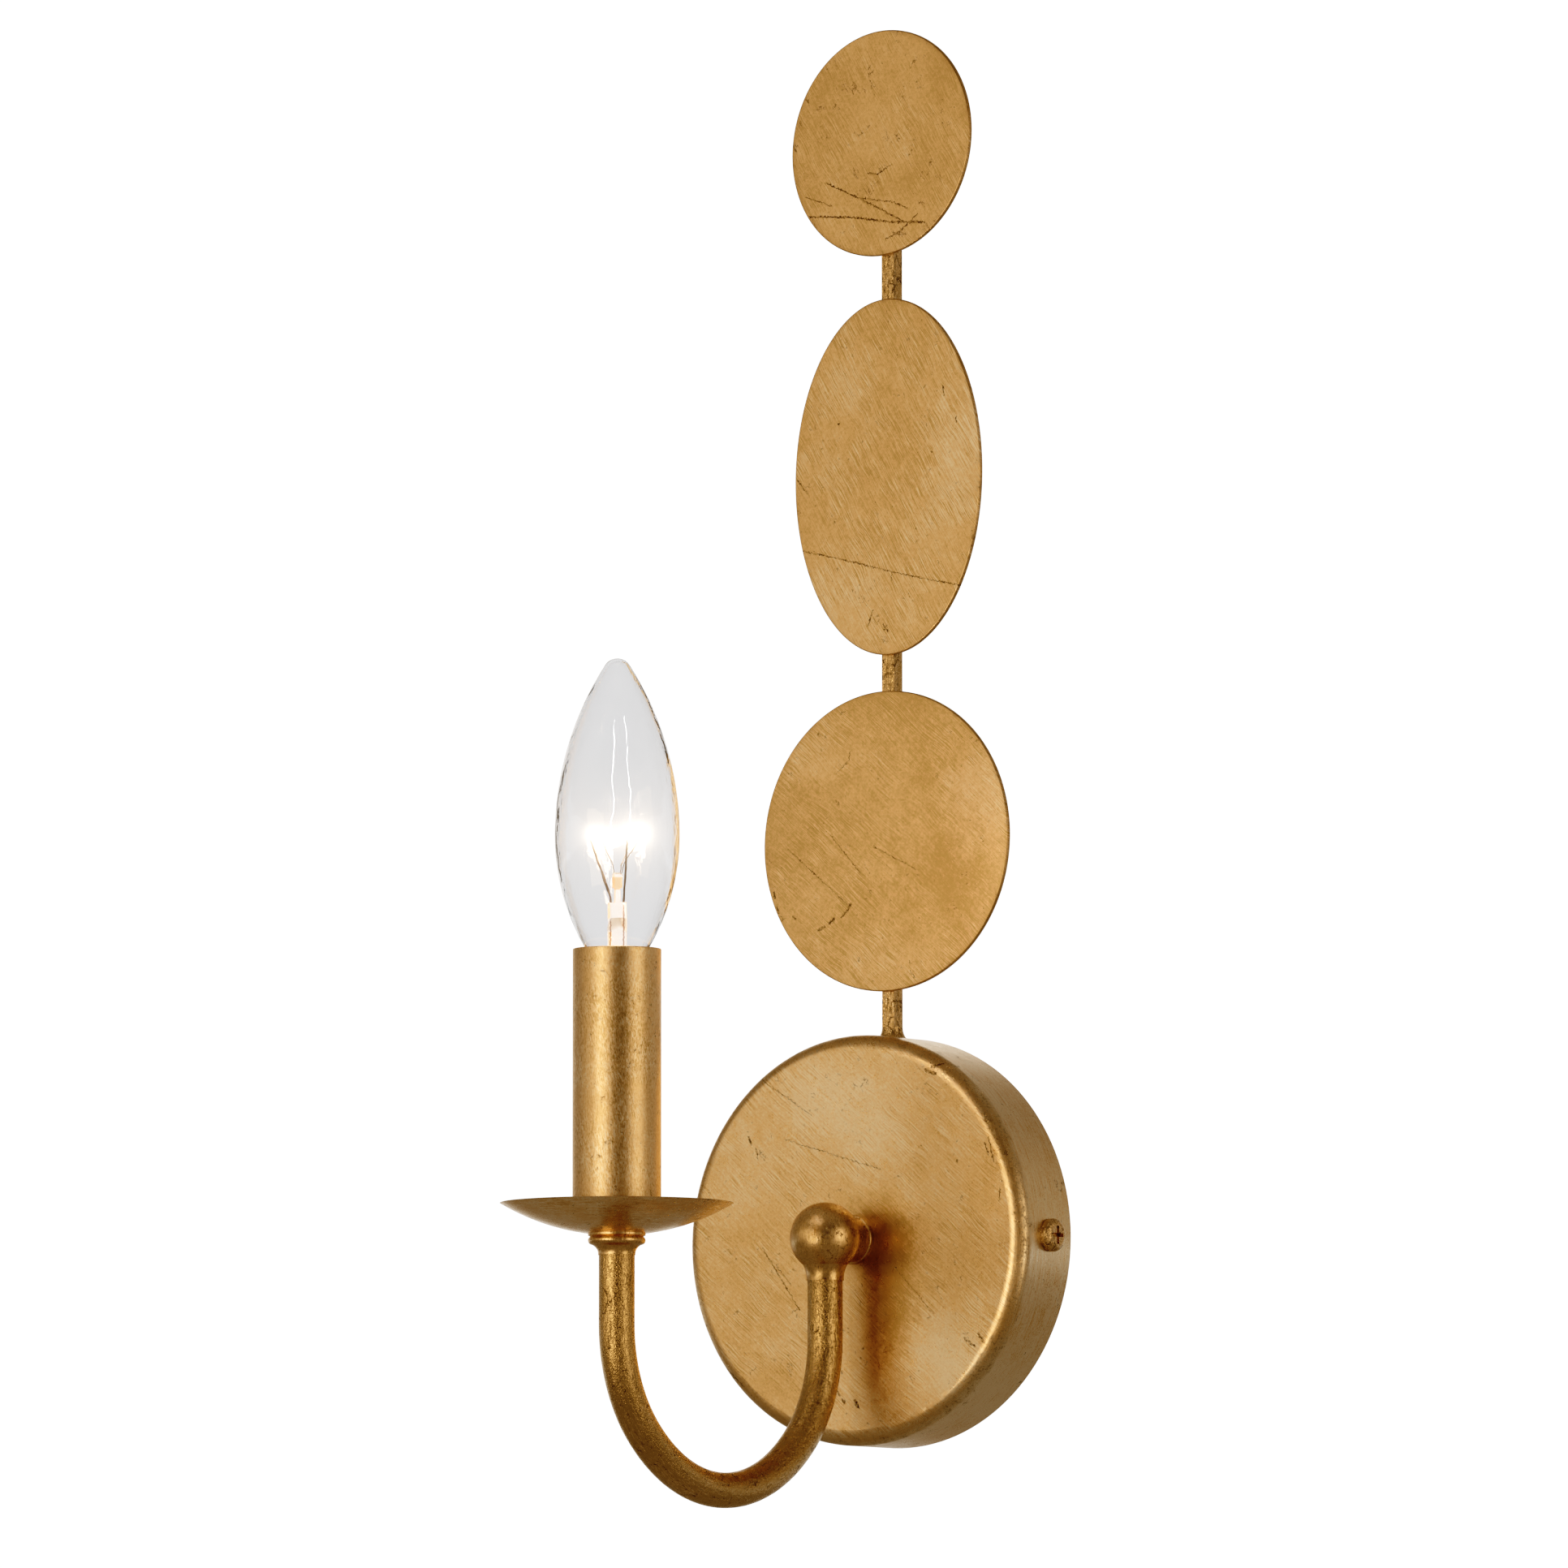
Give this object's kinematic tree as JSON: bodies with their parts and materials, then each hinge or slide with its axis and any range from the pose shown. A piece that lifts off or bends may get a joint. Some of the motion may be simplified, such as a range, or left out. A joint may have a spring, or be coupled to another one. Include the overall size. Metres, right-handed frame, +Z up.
{
  "type": "wall sconce",
  "caption": "Wall light with a round canopy, a U-shaped arm, a drip dish and a candle-style lamp, below a bar of flat round and oval plates.",
  "frame": {"origin": "centre of the canopy's back rim, on the wall", "axes": "+Z up along the bar of plates, +Y into the wall, -Y towards the room, +X to the right as seen from the room"},
  "size_m": [0.1264, 0.1753, 0.44],
  "materials": {
    "gilt_steel": "antique gold leaf over steel, satin, mottled",
    "gilt_arm": "antique gold leaf over steel pipe, crackled",
    "gilt_brass": "antique gold leaf over turned brass",
    "zinc_steel": "zinc-plated steel",
    "green_screw": "green-dyed steel",
    "socket_phenolic": "dark brown moulded phenolic",
    "socket_brass": "plain brass",
    "bulb_glass": "clear",
    "stem_glass": "clear, slightly seeded",
    "lamp_wire": "nickel wire",
    "filament_glow": "lit tungsten coil",
    "lamp_base_metal": "nickel-plated brass",
    "lamp_black_glass": "black glass insulator",
    "solder": "solder",
    "lead_black": "black insulation",
    "lead_white": "white insulation",
    "connector_plastic": "orange plastic",
    "bare_copper": "bare copper"
  },
  "bodies": {
    "fixture": {"arm_ball": "gilt_brass", "arm_collar": "gilt_arm", "arm_lock_washer": "zinc_steel", "arm_nipple": "zinc_steel", "arm_nut": "zinc_steel", "arm_tube": "gilt_arm", "ball_neck": "gilt_brass", "bobeche": "gilt_steel", "bobeche_locknut": "zinc_steel", "canopy": "gilt_steel", "canopy_screws": "gilt_steel", "ground_lug": "zinc_steel", "ground_screw": "green_screw", "ground_wire": "bare_copper", "lead_live": "lead_black", "lead_neutral": "lead_white", "lower_disc": "gilt_steel", "mounting_bracket": "zinc_steel", "oval_plate": "gilt_steel", "plate_welds": "gilt_steel", "socket_body": "socket_phenolic", "socket_contact": "socket_brass", "socket_shell": "socket_brass", "socket_strap": "zinc_steel", "spine_bar": "gilt_steel", "spine_weld": "gilt_steel", "strap_rivet": "zinc_steel", "top_disc": "gilt_steel", "wire_connectors": "connector_plastic"},
    "sleeve": {"candle_sleeve": "gilt_steel"},
    "lamp": {"lamp_anchors": "lamp_wire", "lamp_base": "lamp_base_metal", "lamp_bulb": "bulb_glass", "lamp_contact": "solder", "lamp_filament": "filament_glow", "lamp_insulator": "lamp_black_glass", "lamp_leads": "lamp_wire", "lamp_stem": "stem_glass"}
  },
  "joints": [
    {"name": "sleeve_lift", "type": "slide", "parent": "fixture", "child": "sleeve", "axis": [0, 0, 1], "range_m": [0, 0.085]},
    {"name": "lamp_pull", "type": "slide", "parent": "sleeve", "child": "lamp", "axis": [0, 0, 1], "range_m": [0, 0.045]}
  ]
}
